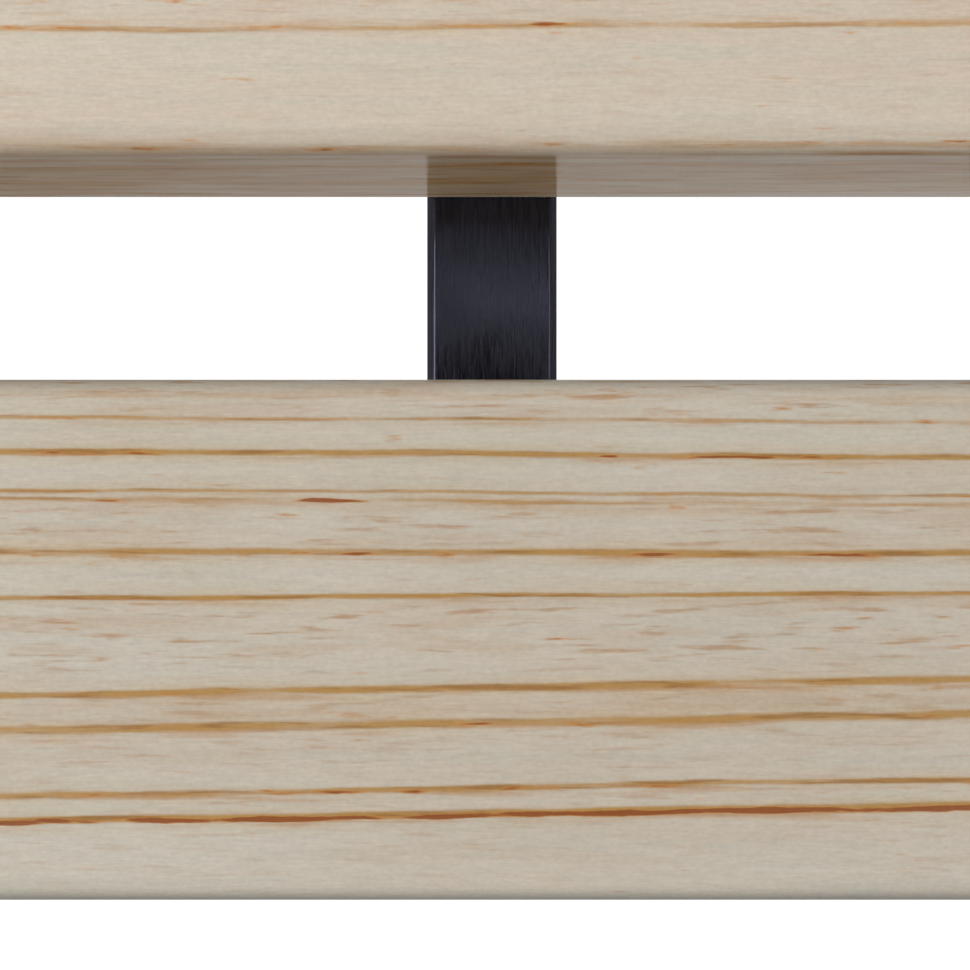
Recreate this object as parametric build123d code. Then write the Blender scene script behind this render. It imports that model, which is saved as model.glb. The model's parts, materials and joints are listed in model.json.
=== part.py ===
from build123d import *
import math
import os

# A ceiling mounted pulley rack: six varnished pine laths screwed down on two square black
# steel crossbars. Each crossbar hangs from a bent rod bail and an S-hook under a ceiling
# pulley, a single one at the left and a double one at the right.
#
# Millimetres. +X runs along the laths, +Y across them, +Z up. The origin is the middle of the
# four ceiling screw holes, on the ceiling face of the pulley plates. The rack is drawn here
# hoisted right up, with its hooks just under the pulleys.

# Laths
LATH_COUNT = 6
LATH_LENGTH = 1200.0
LATH_WIDTH = 44.0
LATH_THICKNESS = 18.0
LATH_GAP = 19.0
LATH_TOP_ROUND = 2.3
LATH_BACK_ARRIS = 0.8
LATH_END_ARRIS = 0.6

# Crossbars, square steel bar
BAR_SIZE = 12.7
BAR_EDGE_CHAMFER = 0.75
BAR_END_INSET = 8.0

# Wood screws, up through the crossbars into the laths
SCREW_LENGTH = 25.0
SCREW_RADIUS = 2.0
SCREW_HEAD_RADIUS = 4.0
SCREW_HEAD_HEIGHT = 2.4
SCREW_HOLE_CLEARANCE = 0.2

# Bails, the bent rods that the crossbars hang from
BAIL_ROD_RADIUS = 3.0
BAIL_LEG_GAP_INDEX = 2
BAIL_HEIGHT = 145.0
BAIL_SLOPE = 38.0
BAIL_APEX_RADIUS = 11.0
BAIL_SHOULDER_RADIUS = 22.0
BAIL_HOLE_CLEARANCE = 0.2
BAIL_END_STICKOUT = 2.5

# Hexagon nuts and washers, all M6
NUT_FLATS = 10.0
NUT_THICKNESS = 5.0
THREAD_END_CHAMFER = 0.6
WASHER_RADIUS = 6.0
WASHER_THICKNESS = 1.6

# S-hooks
HOOK_WIRE_RADIUS = 2.5
HOOK_BOW_RADIUS = 10.0
HOOK_BOW_SWEEP = 295.0

# Pulley wheels for 6 mm rope
PULLEY_SPACING = 800.0
ROPE_DIAMETER = 6.0
WHEEL_RADIUS = 25.0
WHEEL_WIDTH = 11.0
GROOVE_RADIUS = 3.3
GROOVE_BOTTOM_RADIUS = 20.0
GROOVE_FLARE = 22.0
LIP_ROUND = 0.5
RIM_INNER_RADIUS = 17.0
HUB_RADIUS = 8.0
HUB_WIDTH = 12.0
WEB_THICKNESS = 4.0
WEB_FILLET = 1.2
WINDOW_COUNT = 5
WINDOW_RADIUS = 2.9
SPOKE_HALF_ANGLE = 8.0
WHEEL_EDGE_CHAMFER = 0.5
BUSH_RADIUS = 4.8
BUSH_PROUD = 0.3
BUSH_CHAMFER = 0.4

# Pulley side plates, pressed from strip
PLATE_THICKNESS = 2.5
PLATE_BEND_RADIUS = 1.5
PLATE_TOP_WIDTH = 46.0
PLATE_BOSS_RADIUS = 12.0
ARM_ROOT_RADIUS = 8.0
ARM_END_RADIUS = 6.0
PLATE_CORNER_ROUND = 6.0
GUSSET_REACH = 10.0
GUSSET_WIDTH = 5.0
GUSSET_ROUND = 1.2
GUSSET_X = 12.0
DIVIDER_THICKNESS = 2.0
DIVIDER_TOP_GAP = 1.0
AXLE_DROP = 34.0
FOOT_END_RADIUS = 9.5
CEILING_HOLE_RADIUS = 2.75
CEILING_HOLE_SPACING_Y = 68.0

# Axles and rope guard pins
AXLE_RADIUS = 3.0
AXLE_HEAD_RADIUS = 6.0
AXLE_HEAD_HEIGHT = 2.8
AXLE_END_STICKOUT = 1.5
RUNNING_CLEARANCE = 0.05
SIDE_CLEARANCE = 0.3
GUARD_PIN_RADIUS = 2.5
GUARD_TENON_RADIUS = 2.0
GUARD_HEAD_RADIUS = 3.6
GUARD_HEAD_HEIGHT = 1.5
GUARD_DROP = 17.0
ROPE_SIDE_CLEARANCE = 0.5

# The gap between curved pieces that bear on each other across a joint
SEAT_GAP = 0.3

# Worked out from the values above
LATH_PITCH = LATH_WIDTH + LATH_GAP
RACK_WIDTH = LATH_COUNT * LATH_WIDTH + (LATH_COUNT - 1) * LATH_GAP
BAR_LENGTH = RACK_WIDTH - 2 * BAR_END_INSET
BAIL_LEG_Y = (LATH_COUNT / 2 - BAIL_LEG_GAP_INDEX) * LATH_PITCH

ROPE_PITCH_RADIUS = GROOVE_BOTTOM_RADIUS + ROPE_DIAMETER / 2
WHEEL_X = {"left": -PULLEY_SPACING / 2, "right": PULLEY_SPACING / 2}
HOOK_X = {side: x - ROPE_PITCH_RADIUS for side, x in WHEEL_X.items()}
RACK_X = -ROPE_PITCH_RADIUS

BUSH_LENGTH = HUB_WIDTH + 2 * BUSH_PROUD
WHEEL_SLOT = BUSH_LENGTH + 2 * SIDE_CLEARANCE
FRONT_PLATE_Y = -WHEEL_SLOT / 2
DIVIDER_Y = WHEEL_SLOT / 2
SECOND_WHEEL_Y = DIVIDER_Y + DIVIDER_THICKNESS + WHEEL_SLOT / 2
BACK_PLATE_Y = {"left": WHEEL_SLOT / 2, "right": SECOND_WHEEL_Y + WHEEL_SLOT / 2}

AXLE_Z = -AXLE_DROP
GUARD_X = ROPE_PITCH_RADIUS + ROPE_DIAMETER / 2 + ROPE_SIDE_CLEARANCE + GUARD_PIN_RADIUS
GUARD_Z = AXLE_Z - GUARD_DROP

# The hook's upper bow comes to rest against the outer guard pin
HOOK_REACH = HOOK_BOW_RADIUS + HOOK_WIRE_RADIUS + SEAT_GAP + GUARD_PIN_RADIUS
HOOK_TOP_BOW_Z = GUARD_Z - math.sqrt(HOOK_REACH**2 - (GUARD_X - ROPE_PITCH_RADIUS) ** 2)
HOOK_MIDDLE_Z = HOOK_TOP_BOW_Z - HOOK_BOW_RADIUS
HOOK_SEAT_Z = HOOK_MIDDLE_Z - 2 * HOOK_BOW_RADIUS

BAIL_APEX_Z = HOOK_SEAT_Z + HOOK_WIRE_RADIUS + SEAT_GAP + BAIL_ROD_RADIUS
BAR_TOP_Z = BAIL_APEX_Z - BAIL_HEIGHT
BAR_BOTTOM_Z = BAR_TOP_Z - BAR_SIZE
LATH_TOP_Z = BAR_TOP_Z + LATH_THICKNESS
BAIL_END_Z = BAR_BOTTOM_Z - WASHER_THICKNESS - NUT_THICKNESS - BAIL_END_STICKOUT


def lath_y(number):
    """Middle of a lath, counted from 1 at the -Y side."""
    return (number - (LATH_COUNT + 1) / 2) * LATH_PITCH


def slab_y(sketch, low, high):
    """A sketch of X and Z values, made solid between two Y values."""
    plane = Plane((0, low, 0), x_dir=(1, 0, 0), z_dir=(0, -1, 0))
    return extrude(plane * sketch, amount=high - low, dir=(0, 1, 0))


def slab_z(sketch, low, high):
    """A sketch of X and Y values, made solid between two Z values."""
    return extrude(Pos(0, 0, low) * sketch, amount=high - low, dir=(0, 0, 1))


def turned_y(profile):
    """A profile of radius and height values, turned about Z and laid along +Y."""
    return Rot(-90, 0, 0) * revolve(Plane.XZ * profile, Axis.Z)


def cylinder_y(radius, low, high):
    return Pos(0, low, 0) * Rot(-90, 0, 0) * extrude(Circle(radius), amount=high - low)


# ---------------------------------------------------------------- rack


def lath(number):
    """A planed lath with well rounded upper edges, drilled underneath for its two screws."""
    section = Rectangle(LATH_WIDTH, LATH_THICKNESS)
    upper = section.vertices().group_by(Axis.Y)[-1]
    section = fillet(upper, LATH_TOP_ROUND)
    lower = section.vertices().group_by(Axis.Y)[0]
    section = fillet(lower, LATH_BACK_ARRIS)
    body = extrude(Plane.YZ * section, amount=LATH_LENGTH / 2, both=True)
    ends = body.faces().group_by(Axis.X)
    body = fillet(ends[0].edges() + ends[-1].edges(), LATH_END_ARRIS)
    body = Pos(RACK_X, lath_y(number), (BAR_TOP_Z + LATH_TOP_Z) / 2) * body
    depth = SCREW_LENGTH - BAR_SIZE
    for x in HOOK_X.values():
        pilot = slab_z(Circle(SCREW_RADIUS), BAR_TOP_Z, BAR_TOP_Z + depth)
        body -= Pos(x, lath_y(number), 0) * pilot
    return body


def wood_screw():
    """A countersunk wood screw, head down, with its head's face at Z = 0."""
    core = SCREW_LENGTH - SCREW_RADIUS
    with BuildSketch() as profile:
        with BuildLine():
            Polyline(
                (0, 0),
                (SCREW_HEAD_RADIUS, 0),
                (SCREW_RADIUS, SCREW_HEAD_HEIGHT),
                (SCREW_RADIUS, core),
                (0, SCREW_LENGTH),
                close=True,
            )
        make_face()
    return revolve(Plane.XZ * profile.sketch, Axis.Z)


def lath_screws():
    return [
        Pos(x, lath_y(number), BAR_BOTTOM_Z) * wood_screw()
        for x in HOOK_X.values()
        for number in range(1, LATH_COUNT + 1)
    ]


def crossbar(side):
    """A square bar with bevelled edges, holes for the bail's legs and countersunk screw holes."""
    body = Box(BAR_SIZE, BAR_LENGTH, BAR_SIZE)
    body = chamfer(body.edges(), BAR_EDGE_CHAMFER)
    body = Pos(HOOK_X[side], 0, (BAR_TOP_Z + BAR_BOTTOM_Z) / 2) * body
    leg_hole = slab_z(Circle(BAIL_ROD_RADIUS + BAIL_HOLE_CLEARANCE), BAR_BOTTOM_Z, BAR_TOP_Z)
    for y in (-BAIL_LEG_Y, BAIL_LEG_Y):
        body -= Pos(HOOK_X[side], y, 0) * leg_hole
    screw_hole = slab_z(Circle(SCREW_RADIUS + SCREW_HOLE_CLEARANCE), BAR_BOTTOM_Z, BAR_TOP_Z)
    sink = Pos(0, 0, BAR_BOTTOM_Z + SCREW_HEAD_HEIGHT / 2) * Cone(
        SCREW_HEAD_RADIUS, SCREW_RADIUS, SCREW_HEAD_HEIGHT
    )
    for number in range(1, LATH_COUNT + 1):
        body -= Pos(HOOK_X[side], lath_y(number), 0) * (screw_hole + sink)
    return body


def bail(side):
    """A rod bent to a gable: two upright legs and two slopes that meet at the hook."""
    slope = math.radians(BAIL_SLOPE)
    corner_z = BAIL_APEX_Z + BAIL_APEX_RADIUS * (1 / math.sin(slope) - 1)
    shoulder_z = corner_z - BAIL_LEG_Y / math.tan(slope)
    path = FilletPolyline(
        (0, -BAIL_LEG_Y, BAIL_END_Z),
        (0, -BAIL_LEG_Y, shoulder_z),
        (0, 0, corner_z),
        (0, BAIL_LEG_Y, shoulder_z),
        (0, BAIL_LEG_Y, BAIL_END_Z),
        radius=[BAIL_SHOULDER_RADIUS, BAIL_APEX_RADIUS, BAIL_SHOULDER_RADIUS],
    )
    section = Pos(0, -BAIL_LEG_Y, BAIL_END_Z) * Circle(BAIL_ROD_RADIUS)
    rod = sweep(section, path=path)
    rod = chamfer(rod.edges().group_by(Axis.Z)[0], THREAD_END_CHAMFER)
    return Pos(HOOK_X[side], 0, 0) * rod


def hex_nut():
    """An M6 nut on Z = 0, its corners bevelled at both faces."""
    corner = NUT_FLATS / math.sqrt(3)
    bevel = corner - NUT_FLATS / 2
    with BuildSketch() as profile:
        with BuildLine():
            Polyline(
                (AXLE_RADIUS, 0),
                (NUT_FLATS / 2, 0),
                (corner, bevel),
                (corner, NUT_THICKNESS - bevel),
                (NUT_FLATS / 2, NUT_THICKNESS),
                (AXLE_RADIUS, NUT_THICKNESS),
                close=True,
            )
        make_face()
    turned = revolve(Plane.XZ * profile.sketch, Axis.Z)
    return turned & extrude(RegularPolygon(corner, 6), amount=NUT_THICKNESS)


def washer():
    return extrude(Circle(WASHER_RADIUS) - Circle(AXLE_RADIUS), amount=WASHER_THICKNESS)


def bail_nuts():
    """A nut above and one below the crossbar, on each leg of the bails."""
    heights = (BAR_TOP_Z, BAR_BOTTOM_Z - WASHER_THICKNESS - NUT_THICKNESS)
    return [
        Pos(x, y, z) * hex_nut()
        for x in HOOK_X.values()
        for y in (-BAIL_LEG_Y, BAIL_LEG_Y)
        for z in heights
    ]


def bail_washers():
    return [
        Pos(x, y, BAR_BOTTOM_Z - WASHER_THICKNESS) * washer()
        for x in HOOK_X.values()
        for y in (-BAIL_LEG_Y, BAIL_LEG_Y)
    ]


# ---------------------------------------------------------------- hooks


def s_hook(side):
    """A wire S of two equal bows, in the plane of the laths' length."""
    upper = CenterArc((0, HOOK_BOW_RADIUS), HOOK_BOW_RADIUS, 270 - HOOK_BOW_SWEEP, HOOK_BOW_SWEEP)
    lower = CenterArc((0, -HOOK_BOW_RADIUS), HOOK_BOW_RADIUS, 90, -HOOK_BOW_SWEEP)
    path = Plane.XZ * Wire([upper.edge(), lower.edge()])
    section = Plane(origin=path @ 0, z_dir=path % 0) * Circle(HOOK_WIRE_RADIUS)
    body = sweep(section, path=path)
    for end in (path @ 0, path @ 1):
        body += Pos(*end) * Sphere(HOOK_WIRE_RADIUS)
    return Pos(HOOK_X[side], 0, HOOK_MIDDLE_Z) * body


# ---------------------------------------------------------------- pulley wheels


def wheel_window():
    """One opening of the wheel's web, a ring segment with rounded corners."""
    middle = (HUB_RADIUS + RIM_INNER_RADIUS) / 2
    spread = 360 / WINDOW_COUNT / 2 - math.degrees(WINDOW_RADIUS / middle) - SPOKE_HALF_ANGLE
    path = CenterArc((0, 0), middle, -spread, 2 * spread)
    ring = Circle(middle + WINDOW_RADIUS) - Circle(middle - WINDOW_RADIUS)
    wedge = Polygon(
        (0, 0),
        (2 * middle, -2 * middle * math.tan(math.radians(spread))),
        (2 * middle, 2 * middle * math.tan(math.radians(spread))),
        align=None,
    )
    ends = [Pos(*(path @ t)) * Circle(WINDOW_RADIUS) for t in (0, 1)]
    return (ring & wedge) + ends[0] + ends[1]


def groove_section():
    """The rope groove: round at the bottom, with flared walls that leave the round smoothly."""
    middle = GROOVE_BOTTOM_RADIUS + GROOVE_RADIUS
    flare = math.radians(GROOVE_FLARE)
    start_x = middle - GROOVE_RADIUS * math.sin(flare)
    start_y = GROOVE_RADIUS * math.cos(flare)
    end_x = WHEEL_RADIUS + GROOVE_RADIUS
    end_y = start_y + (end_x - start_x) * math.tan(flare)
    mouth = Polygon(
        (start_x, -start_y), (end_x, -end_y), (end_x, end_y), (start_x, start_y), align=None
    )
    return Pos(middle, 0) * Circle(GROOVE_RADIUS) + mouth


def wheel(x, y):
    """A grooved wheel with a thin web, pierced between its spokes."""
    hub = Pos(HUB_RADIUS / 2, 0) * Rectangle(HUB_RADIUS, HUB_WIDTH)
    web_radius = (RIM_INNER_RADIUS + GROOVE_BOTTOM_RADIUS) / 2
    web = Pos(web_radius / 2, 0) * Rectangle(web_radius, WEB_THICKNESS)
    rim_depth = WHEEL_RADIUS - RIM_INNER_RADIUS
    rim = Pos(RIM_INNER_RADIUS + rim_depth / 2, 0) * Rectangle(rim_depth, WHEEL_WIDTH)
    section = hub + web + rim
    outside = [v for v in section.vertices() if abs(v.Y) > WEB_THICKNESS and 0 < v.X < WHEEL_RADIUS]
    inner = [v for v in section.vertices() if abs(v.Y) < WEB_THICKNESS and v.X > HUB_RADIUS / 2]
    section = chamfer(outside, WHEEL_EDGE_CHAMFER)
    section = fillet(inner, WEB_FILLET)
    section -= groove_section()
    section = fillet(section.vertices().group_by(Axis.X)[-1], LIP_ROUND)
    section -= Pos(BUSH_RADIUS / 2, 0) * Rectangle(BUSH_RADIUS, 2 * HUB_WIDTH)
    body = turned_y(section)
    window = slab_y(wheel_window(), -WEB_THICKNESS, WEB_THICKNESS)
    for step in range(WINDOW_COUNT):
        body -= Rot(0, step * 360 / WINDOW_COUNT, 0) * window
    return Pos(x, y, AXLE_Z) * body


def bush(x, y):
    """A plain brass bush, pressed into the wheel and turning on the axle."""
    bore = AXLE_RADIUS + RUNNING_CLEARANCE
    section = Pos((bore + BUSH_RADIUS) / 2, 0) * Rectangle(BUSH_RADIUS - bore, BUSH_LENGTH)
    section = chamfer(section.vertices().group_by(Axis.X)[0], BUSH_CHAMFER)
    return Pos(x, y, AXLE_Z) * turned_y(section)


# ---------------------------------------------------------------- pulley frames


def plate_outline(top_z):
    """The hanging part of a side plate: a neck to the ceiling and an arm to each guard pin."""
    head = Pos(0, top_z - PLATE_THICKNESS / 2) * Rectangle(PLATE_TOP_WIDTH, PLATE_THICKNESS)
    boss = Pos(0, AXLE_Z) * Circle(PLATE_BOSS_RADIUS)
    outline = make_hull(head.edges() + boss.edges())
    for x in (-GUARD_X, GUARD_X):
        root = Pos(0, AXLE_Z) * Circle(ARM_ROOT_RADIUS)
        tip = Pos(x, GUARD_Z) * Circle(ARM_END_RADIUS)
        outline += make_hull(root.edges() + tip.edges())
    outline = offset(outline, PLATE_CORNER_ROUND)
    outline = offset(outline, -PLATE_CORNER_ROUND)
    outline -= Pos(0, AXLE_Z) * Circle(AXLE_RADIUS + RUNNING_CLEARANCE)
    return outline


def foot_outline(start_y):
    """The foot against the ceiling, rounded round its screw."""
    hole_y = CEILING_HOLE_SPACING_Y / 2
    root = Pos(0, start_y + PLATE_THICKNESS / 2) * Rectangle(PLATE_TOP_WIDTH, PLATE_THICKNESS)
    tip = Pos(0, hole_y) * Circle(FOOT_END_RADIUS)
    reach = 2 * hole_y
    beyond = Pos(0, start_y + reach / 2) * Rectangle(2 * PLATE_TOP_WIDTH, reach)
    outline = make_hull(root.edges() + tip.edges()) & beyond
    return outline - Pos(0, hole_y) * Circle(CEILING_HOLE_RADIUS)


def gusset():
    """A pressed rib in the corner under a foot, which runs to +Y, and beside the hanging part."""
    section = Polygon((0, 0), (GUSSET_REACH, 0), (0, -GUSSET_REACH), align=None)
    rib = extrude(Plane.YZ * section, amount=GUSSET_WIDTH / 2, both=True)
    ridge = [e for e in rib.edges() if e.length > 1.2 * GUSSET_REACH]
    return fillet(ridge, GUSSET_ROUND)


def back_plate(inner_y):
    """A pressed L: it hangs at inner_y, and its foot turns out towards +Y."""
    bend = PLATE_THICKNESS + PLATE_BEND_RADIUS
    outline = plate_outline(-bend)
    for x in (-GUARD_X, GUARD_X):
        outline -= Pos(x, GUARD_Z) * Circle(GUARD_TENON_RADIUS)
    hanging = slab_y(outline, inner_y, inner_y + PLATE_THICKNESS)
    foot = slab_z(foot_outline(inner_y + bend), -PLATE_THICKNESS, 0)
    quarter = Circle(bend) - Circle(PLATE_BEND_RADIUS)
    quarter &= Pos(-bend / 2, bend / 2) * Rectangle(bend, bend)
    corner = extrude(Plane.YZ * quarter, amount=PLATE_TOP_WIDTH / 2, both=True)
    plate = hanging + foot + Pos(0, inner_y + bend, -bend) * corner
    for x in (-GUSSET_X, GUSSET_X):
        plate += Pos(x, inner_y + PLATE_THICKNESS, -PLATE_THICKNESS) * gusset()
    return plate


def front_plate():
    return mirror(back_plate(-FRONT_PLATE_Y), about=Plane.XZ)


def divider():
    """The plate between the double pulley's wheels, held by the axle and the guard pins."""
    outline = plate_outline(-DIVIDER_TOP_GAP)
    for x in (-GUARD_X, GUARD_X):
        outline -= Pos(x, GUARD_Z) * Circle(GUARD_PIN_RADIUS)
    return slab_y(outline, DIVIDER_Y, DIVIDER_Y + DIVIDER_THICKNESS)


def axle(side):
    """A bolt with a low domed head at the front plate and a threaded end at the back."""
    front = FRONT_PLATE_Y - PLATE_THICKNESS
    end = BACK_PLATE_Y[side] + PLATE_THICKNESS + WASHER_THICKNESS
    end += NUT_THICKNESS + AXLE_END_STICKOUT
    shank = cylinder_y(AXLE_RADIUS, front, end)
    shank = chamfer(shank.edges().group_by(Axis.Y)[-1], THREAD_END_CHAMFER)
    head = domed_head(AXLE_HEAD_RADIUS, AXLE_HEAD_HEIGHT, front)
    return Pos(WHEEL_X[side], 0, AXLE_Z) * (shank + head)


def domed_head(radius, height, face_y):
    """A spherical cap that stands on the XZ plane at face_y and bulges to -Y."""
    sphere_radius = (radius**2 + height**2) / (2 * height)
    ball = Pos(0, face_y - height + sphere_radius, 0) * Sphere(sphere_radius)
    return ball & cylinder_y(2 * radius, face_y - height, face_y)


def guard_pins(side):
    """The two pins under the wheels that keep the rope in its groove, riveted over."""
    front = FRONT_PLATE_Y
    back = BACK_PLATE_Y[side]
    pin = cylinder_y(GUARD_PIN_RADIUS, front, back)
    pin += cylinder_y(GUARD_TENON_RADIUS, front - PLATE_THICKNESS, back + PLATE_THICKNESS)
    pin += domed_head(GUARD_HEAD_RADIUS, GUARD_HEAD_HEIGHT, front - PLATE_THICKNESS)
    rear = mirror(domed_head(GUARD_HEAD_RADIUS, GUARD_HEAD_HEIGHT, 0), about=Plane.XZ)
    pin += Pos(0, back + PLATE_THICKNESS, 0) * rear
    return [Pos(WHEEL_X[side] + x, 0, GUARD_Z) * pin for x in (-GUARD_X, GUARD_X)]


def axle_washers():
    return [
        Pos(WHEEL_X[side], BACK_PLATE_Y[side] + PLATE_THICKNESS, AXLE_Z) * Rot(-90, 0, 0) * washer()
        for side in WHEEL_X
    ]


def axle_nuts():
    seat = PLATE_THICKNESS + WASHER_THICKNESS
    return [
        Pos(WHEEL_X[side], BACK_PLATE_Y[side] + seat, AXLE_Z) * Rot(-90, 0, 0) * hex_nut()
        for side in WHEEL_X
    ]


# ---------------------------------------------------------------- the whole rack


def all_nodes():
    left, right = WHEEL_X["left"], WHEEL_X["right"]
    nodes = {f"lath_{n}": lath(n) for n in range(1, LATH_COUNT + 1)}
    for side in HOOK_X:
        nodes[f"crossbar_{side}"] = crossbar(side)
        nodes[f"bail_{side}"] = bail(side)
        nodes[f"s_hook_{side}"] = s_hook(side)
    nodes["lath_screws"] = lath_screws()
    nodes["bail_nuts"] = bail_nuts()
    nodes["bail_washers"] = bail_washers()
    nodes["single_front_plate"] = Pos(left, 0, 0) * front_plate()
    nodes["single_back_plate"] = Pos(left, 0, 0) * back_plate(BACK_PLATE_Y["left"])
    nodes["single_axle"] = axle("left")
    nodes["single_guard_pins"] = guard_pins("left")
    nodes["single_wheel"] = wheel(left, 0)
    nodes["single_bush"] = bush(left, 0)
    nodes["double_front_plate"] = Pos(right, 0, 0) * front_plate()
    nodes["double_back_plate"] = Pos(right, 0, 0) * back_plate(BACK_PLATE_Y["right"])
    nodes["double_divider"] = Pos(right, 0, 0) * divider()
    nodes["double_axle"] = axle("right")
    nodes["double_guard_pins"] = guard_pins("right")
    nodes["double_front_wheel"] = wheel(right, 0)
    nodes["double_front_bush"] = bush(right, 0)
    nodes["double_back_wheel"] = wheel(right, SECOND_WHEEL_Y)
    nodes["double_back_bush"] = bush(right, SECOND_WHEEL_Y)
    nodes["axle_washers"] = axle_washers()
    nodes["axle_nuts"] = axle_nuts()
    return nodes


def main():
    os.makedirs("parts", exist_ok=True)
    for name, shape in all_nodes().items():
        whole = Compound(children=shape) if isinstance(shape, list) else shape
        export_step(whole, f"parts/{name}.step")


if __name__ == "__main__":
    main()
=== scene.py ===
import json
import math

import bmesh
import bpy
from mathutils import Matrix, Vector


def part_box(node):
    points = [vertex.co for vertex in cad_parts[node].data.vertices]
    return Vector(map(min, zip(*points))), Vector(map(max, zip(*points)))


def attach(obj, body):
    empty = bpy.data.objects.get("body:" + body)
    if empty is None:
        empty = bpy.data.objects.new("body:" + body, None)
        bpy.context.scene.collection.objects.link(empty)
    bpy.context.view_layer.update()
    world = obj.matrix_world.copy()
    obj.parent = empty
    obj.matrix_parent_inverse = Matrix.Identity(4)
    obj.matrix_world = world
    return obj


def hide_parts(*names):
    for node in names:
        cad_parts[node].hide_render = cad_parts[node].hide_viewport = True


# The looks of a ceiling mounted pulley rack: varnished pine laths on black steel crossbars,
# under two pulleys. Metres, +X along the laths, +Z up, origin on the ceiling.

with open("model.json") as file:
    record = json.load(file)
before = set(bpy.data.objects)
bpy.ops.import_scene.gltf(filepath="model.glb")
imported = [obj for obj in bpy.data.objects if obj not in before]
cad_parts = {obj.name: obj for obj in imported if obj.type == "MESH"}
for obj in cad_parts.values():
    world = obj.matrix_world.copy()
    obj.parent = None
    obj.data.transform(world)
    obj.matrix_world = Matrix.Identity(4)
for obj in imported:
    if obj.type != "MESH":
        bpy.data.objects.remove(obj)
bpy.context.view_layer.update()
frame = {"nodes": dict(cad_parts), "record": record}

MM = 0.001
LATH_NUMBERS = range(1, 7)
LATH_TOP_ROUND = 2.3 * MM
LATH_BACK_ARRIS = 0.5 * MM
LATH_END_ARRIS = 0.6 * MM
ROUND = 0.5  # the profile of a bevel that makes a quarter round

# ---------------------------------------------------------------- camera and studio

CAMERA_CLEARANCE = 104.0 * MM
CAMERA_BESIDE_BAR = 0.68 * MM
CAMERA_UNDER_SECOND_LATH = 27.93 * MM
FOCAL_LENGTH = 46.5
FLOOR_DROP = 2.3


def place_camera():
    """Square on to the laths' faces, over the gap between the first two at the left crossbar."""
    bar_low, bar_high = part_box("crossbar_left")
    second_low, second_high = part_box("lath_2")
    middle = (bar_low.x + bar_high.x) / 2
    place = (
        middle - CAMERA_BESIDE_BAR,
        second_low.y - CAMERA_UNDER_SECOND_LATH,
        second_high.z + CAMERA_CLEARANCE,
    )
    bpy.ops.object.camera_add(location=place, rotation=(0, 0, 0))
    camera = bpy.context.object
    camera.name = "view_camera"
    camera.data.lens = FOCAL_LENGTH
    camera.data.sensor_width = 36
    camera.data.clip_start = 0.01
    bpy.context.scene.camera = camera


def add(tree, kind, inputs=None, **properties):
    """A new node with its properties set and its inputs linked or given a value."""
    made = tree.nodes.new(kind)
    for name, value in properties.items():
        setattr(made, name, value)
    for name, value in (inputs or {}).items():
        if isinstance(value, bpy.types.NodeSocket):
            tree.links.new(value, made.inputs[name])
        else:
            made.inputs[name].default_value = value
    return made


def calc(tree, operation, *values, clamp=False):
    """One Math node; returns its output."""
    made = add(tree, "ShaderNodeMath", dict(enumerate(values)), operation=operation)
    made.use_clamp = clamp
    return made.outputs[0]


def blend_colour(tree, factor, first, second, mode="MIX"):
    """Mixes two colours by a factor; returns the colour."""
    made = add(tree, "ShaderNodeMix", data_type="RGBA", blend_type=mode)
    for number, value in ((0, factor), (6, first), (7, second)):
        if isinstance(value, bpy.types.NodeSocket):
            tree.links.new(value, made.inputs[number])
        else:
            made.inputs[number].default_value = value
    return made.outputs[2]


def spread(tree, value, low, high, to_low=0.0, to_high=1.0, smooth=True):
    """Maps low..high of a value to to_low..to_high, clamped."""
    made = add(
        tree,
        "ShaderNodeMapRange",
        {"Value": value, "From Min": low, "From Max": high, "To Min": to_low, "To Max": to_high},
        interpolation_type="SMOOTHSTEP" if smooth else "LINEAR",
    )
    return made.outputs[0]


def stretch(tree, vector, size):
    """The vector divided by the size of a pattern along each axis."""
    made = add(tree, "ShaderNodeVectorMath", {0: vector, 1: size}, operation="DIVIDE")
    return made.outputs[0]


def noise(tree, vector, size, detail=2.0, roughness=0.5):
    """Noise of the given size along X, Y and Z, in the vector's own units."""
    made = add(
        tree,
        "ShaderNodeTexNoise",
        {
            "Vector": stretch(tree, vector, size),
            "Scale": 1.0,
            "Detail": detail,
            "Roughness": roughness,
        },
    )
    return made.outputs[0]


def group(name, inputs, outputs):
    """An empty shader node group, its tree, and its input and output nodes."""
    tree = bpy.data.node_groups.new(name, "ShaderNodeTree")
    kinds = {"value": "NodeSocketFloat", "vector": "NodeSocketVector", "colour": "NodeSocketColor"}
    for label, kind in inputs:
        tree.interface.new_socket(name=label, in_out="INPUT", socket_type=kinds[kind])
    for label, kind in outputs:
        tree.interface.new_socket(name=label, in_out="OUTPUT", socket_type=kinds[kind])
    entry = tree.nodes.new("NodeGroupInput")
    leave = tree.nodes.new("NodeGroupOutput")
    return tree, entry.outputs, leave.inputs


def use(tree, name, inputs):
    """Places a node group in a material; returns its outputs."""
    made = add(tree, "ShaderNodeGroup", node_tree=bpy.data.node_groups[name])
    for label, value in inputs.items():
        if isinstance(value, bpy.types.NodeSocket):
            tree.links.new(value, made.inputs[label])
        else:
            made.inputs[label].default_value = value
    return made.outputs


def material(name):
    """A new material; returns it, its tree, its shader and its Object coordinates in mm."""
    made = bpy.data.materials.new(name)
    made.use_nodes = True
    tree = made.node_tree
    shader = tree.nodes["Principled BSDF"]
    coordinates = add(tree, "ShaderNodeTexCoord").outputs["Object"]
    in_mm = add(tree, "ShaderNodeMapping", {"Vector": coordinates, "Scale": (1000, 1000, 1000)})
    return made, tree, shader, in_mm


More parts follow.
